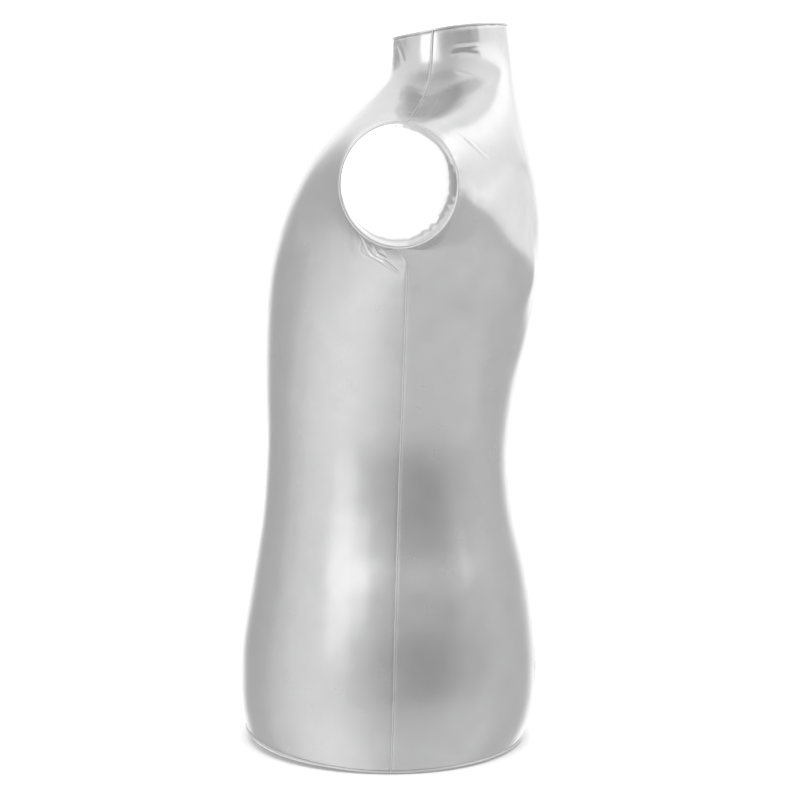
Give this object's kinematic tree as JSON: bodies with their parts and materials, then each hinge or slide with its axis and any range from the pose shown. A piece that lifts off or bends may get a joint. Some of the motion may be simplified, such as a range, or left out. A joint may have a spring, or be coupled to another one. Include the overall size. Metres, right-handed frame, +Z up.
{
  "type": "inflatable torso mannequin",
  "caption": "Free-standing inflatable half-body mannequin of silver film, with flat neck and arm caps, welded seams, a flat oval base and a push-in inflation valve low on the back.",
  "frame": {"origin": "on the floor, below the middle of the torso", "axes": "+Z up, -Y the way the torso faces, +X its left arm"},
  "size_m": [0.4214, 0.3029, 0.721],
  "materials": {
    "film": "silver pearl pvc film, glossy",
    "weld": "silver pvc, welded and pressed",
    "valve": "soft translucent white pvc, satin"
  },
  "bodies": {
    "torso": {"front_panel": "film", "back_panel": "film", "neck_cap": "film", "left_arm_cap": "film", "right_arm_cap": "film", "base_panel": "film", "left_side_weld": "weld", "right_side_weld": "weld", "left_shoulder_weld": "weld", "right_shoulder_weld": "weld", "neck_weld": "weld", "left_arm_weld": "weld", "right_arm_weld": "weld", "base_weld": "weld", "valve_flange": "valve", "valve_collar": "valve"},
    "stem": {"valve_stem": "valve"},
    "plug": {"valve_plug": "valve"},
    "flap": {"valve_flap": "valve"}
  },
  "joints": [
    {"name": "stem_slide", "type": "slide", "parent": "torso", "child": "stem", "axis": [0, 1, 0], "range_m": [0, 0.012], "deforming": ["valve_collar"]},
    {"name": "plug_hinge", "type": "hinge", "parent": "stem", "child": "plug", "pos_m": [0, 0.14875, 0.0666], "axis": [-1, 0, 0], "range_deg": [0, 150]},
    {"name": "flap_hinge", "type": "hinge", "parent": "stem", "child": "flap", "pos_m": [0, 0.1322, 0.0822], "axis": [-1, 0, 0], "range_deg": [0, 60], "stiffness_Nm_per_rad": 0.0001}
  ]
}
